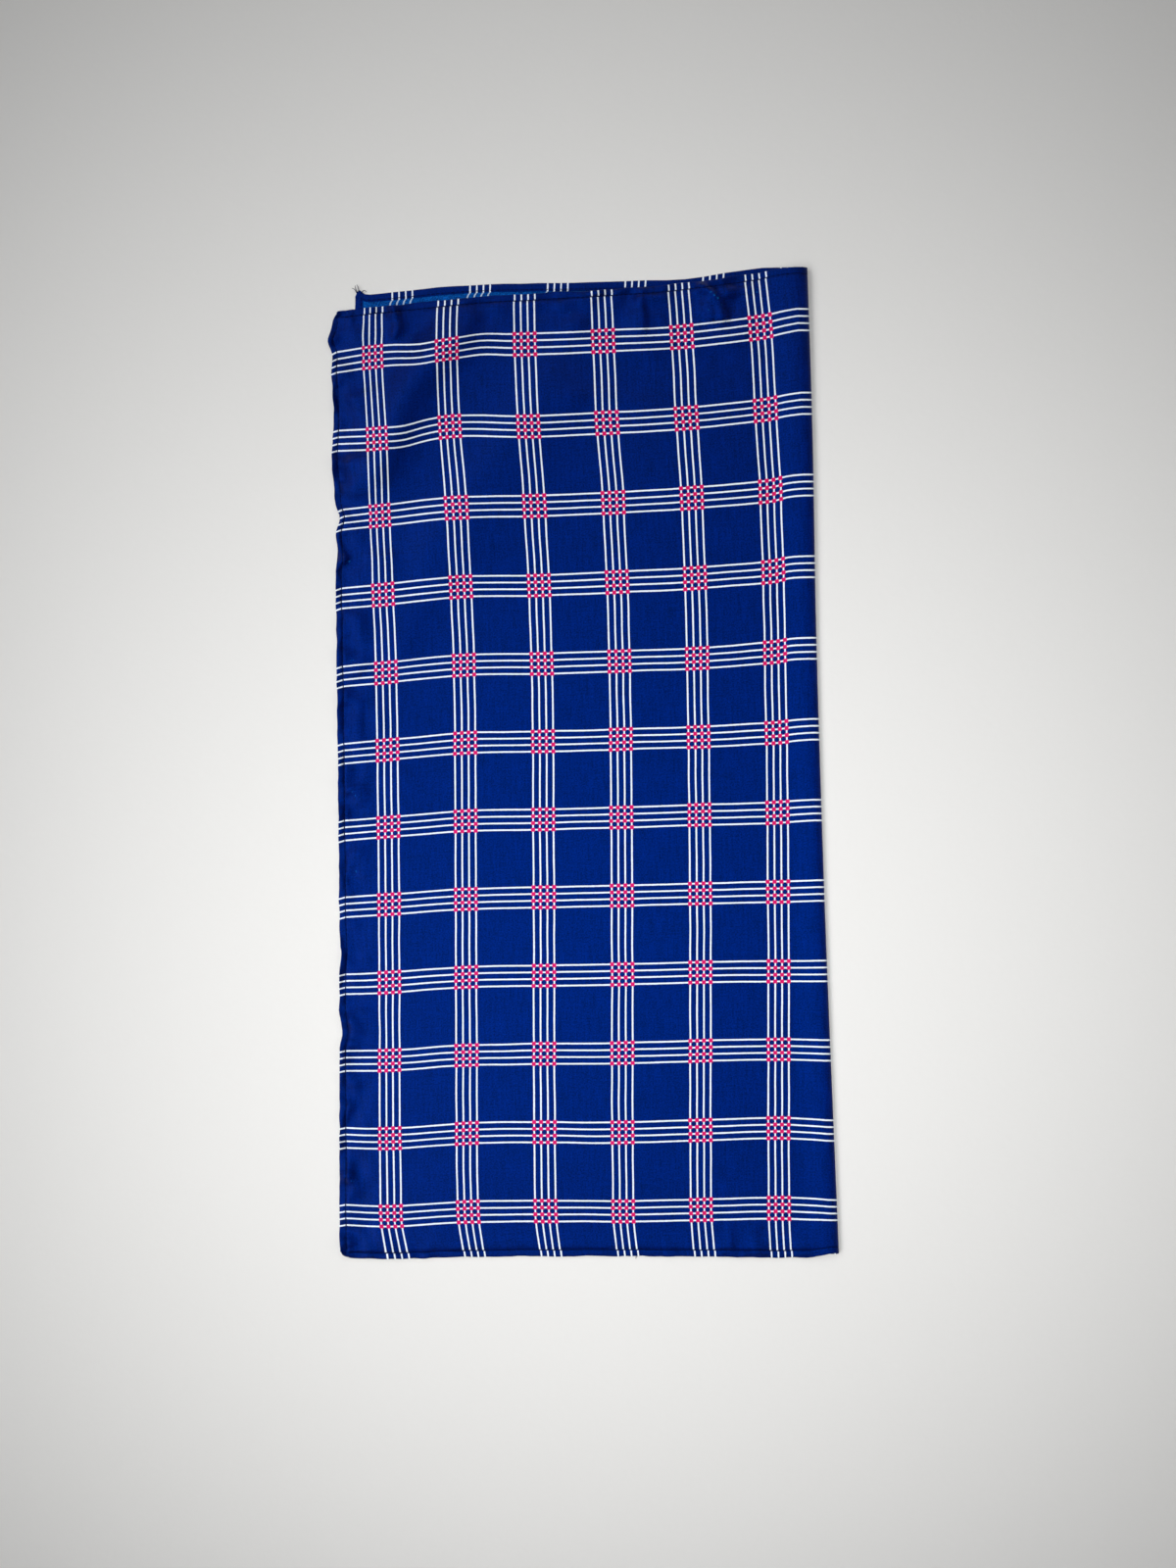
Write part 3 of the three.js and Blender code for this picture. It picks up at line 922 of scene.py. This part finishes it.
def tube(points, radii, sides=5):
    """Vertices and faces of a tube along points, closed at both ends."""
    points = np.asarray(points, float)
    ahead = np.gradient(points, axis=0)
    ahead /= np.linalg.norm(ahead, axis=1, keepdims=True)
    helper = np.where(np.abs(ahead[:, 2:3]) < 0.9, [[0, 0, 1.0]], [[1.0, 0, 0]])
    side = np.cross(ahead, helper)
    side /= np.linalg.norm(side, axis=1, keepdims=True)
    over = np.cross(side, ahead)
    turn = np.arange(sides) * 2 * math.pi / sides
    ring = side[:, None] * np.cos(turn)[:, None] + over[:, None] * np.sin(turn)[:, None]
    verts = points[:, None] + ring * np.asarray(radii)[:, None, None]
    verts[..., 2] = np.maximum(verts[..., 2], TABLE_GAP)
    faces = []
    for k in range(len(points) - 1):
        for s in range(sides):
            t = (s + 1) % sides
            faces.append((k * sides + s, k * sides + t, (k + 1) * sides + t, (k + 1) * sides + s))
    faces.append(tuple(range(sides))[::-1])
    faces.append(tuple((len(points) - 1) * sides + s for s in range(sides)))
    return verts.reshape(-1, 3), faces


def joined(name, tubes, material):
    """One object of many tubes."""
    verts, faces, start = [], [], 0
    for tube_verts, tube_faces in tubes:
        verts.append(tube_verts)
        faces += [tuple(start + k for k in face) for face in tube_faces]
        start += len(tube_verts)
    mesh = bpy.data.meshes.new(name)
    mesh.from_pydata((np.concatenate(verts) * MM).tolist(), [], faces)
    mesh.shade_smooth()
    mesh.materials.append(material)
    made = bpy.data.objects.new(name, mesh)
    bpy.context.scene.collection.objects.link(made)
    print(name, "faces:", len(faces))
    return made


# %% [markdown]
# A row of stitches is walked along its seam, one stitch and one gap at a time. Each tube bends
# with the cloth under it. There is a row on both faces, since a machine sews with two threads.

# %% Stitches along the four hems
STITCH = 2.3                # length of one stitch
STITCH_GAP = 0.55
FIRST_STITCH = 1.4          # from the corner of the seam
THREAD_RADIUS = 0.2
seam_station = int(np.argmin(np.abs(HEM_STATIONS - SEAM)))

paper = Paper("navy_thread")
place = paper.node("ShaderNodeTexCoord", output="Object")
fuzz = paper.noise(place, 4000.0, 2.0)
bump = paper.node("ShaderNodeBump", None, {"Strength": 0.5, "Distance": 0.00003, "Height": fuzz})
navy_thread = paper.finish(
    Base_Color=paper.tinted(THREAD_NAVY, 0.6 + fuzz * 0.8),
    Roughness=0.6,
    Specular_IOR_Level=0.2,
    Specular_Tint=(0.1, 0.2, 0.9, 1.0),
    Normal=bump,
)


def stitches_along(line, outwards):
    """Stitches on a line of points, raised by a hair along the outward directions."""
    gone = np.concatenate([[0], np.cumsum(np.linalg.norm(np.diff(line, axis=0), axis=1))])
    made = []
    start = FIRST_STITCH
    while start + STITCH < gone[-1]:
        places = start + STITCH * np.array([0, 0.12, 0.5, 0.88, 1])
        spine = np.stack([np.interp(places, gone, line[:, k]) for k in range(3)], axis=1)
        lift = np.stack([np.interp(places, gone, outwards[:, k]) for k in range(3)], axis=1)
        arch = THREAD_RADIUS * np.array([-0.9, 0.3, 0.6, 0.3, -0.9])
        spine = spine + lift * arch[:, None]
        made.append(tube(spine, THREAD_RADIUS * np.array([0.6, 1, 1, 1, 0.6])))
        start += STITCH + STITCH_GAP
    return made


def seam_lines():
    """The four seams on both faces of the cloth."""
    k = seam_station
    for face, outward in ((right_face, normals), (wrong_face, -normals)):
        for cut in (np.s_[k, k:-k], np.s_[-1 - k, k:-k], np.s_[k:-k, k], np.s_[k:-k, -1 - k]):
            yield face[cut], outward[cut]


stitch_tubes = [one for line, outward in seam_lines() for one in stitches_along(line, outward)]
hem_stitches = joined("hem_stitches", stitch_tubes, navy_thread)

# %% [markdown]
# ## Loose threads
# At the corner of the back layer a few threads have come out of the hem, and one end hangs out
# under the bottom hem. They are given one by one, as short bent tubes.

# %% Frayed threads
Thread = namedtuple("Thread", "name points")
THREADS = [
    Thread("leftmost", [(-130.6, 271.2, 0.9), (-131.8, 273.2, 1.4), (-133.4, 274.0, 1.2)]),
    Thread("left", [(-130.2, 271.4, 0.9), (-131.2, 273.6, 1.6), (-131.5, 275.4, 1.3)]),
    Thread("middle", [(-129.4, 271.6, 0.9), (-129.6, 274.0, 1.5), (-130.6, 276.0, 1.0)]),
    Thread("right", [(-128.4, 271.0, 0.9), (-126.6, 272.6, 1.3), (-124.9, 272.2, 0.8)]),
    Thread("bottom end", [(30.2, -283.2, 0.7), (30.6, -284.9, 0.8), (30.4, -286.1, 0.4)]),
]


BENT_POINTS = 9


def bent(points):
    """A smooth line through three or more points."""
    points = np.array(points, float)
    knots = np.arange(len(points), dtype=float)
    t = np.linspace(0, knots[-1], BENT_POINTS)
    return np.stack([curve_through(knots, points[:, k], t) for k in range(3)], axis=1)


tapering = np.linspace(0.26, 0.14, BENT_POINTS)
thread_tubes = [tube(bent(thread.points), tapering) for thread in THREADS]
frayed_threads = joined("frayed_threads", thread_tubes, navy_thread)

# %% [markdown]
# ## Handing over
# The cloth stands for the measured model's solid. Everything rides on its one body.

# %% Declaring the pieces
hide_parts("bandana")
for piece in (cloth, hem_stitches, frayed_threads):
    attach(piece, "root")
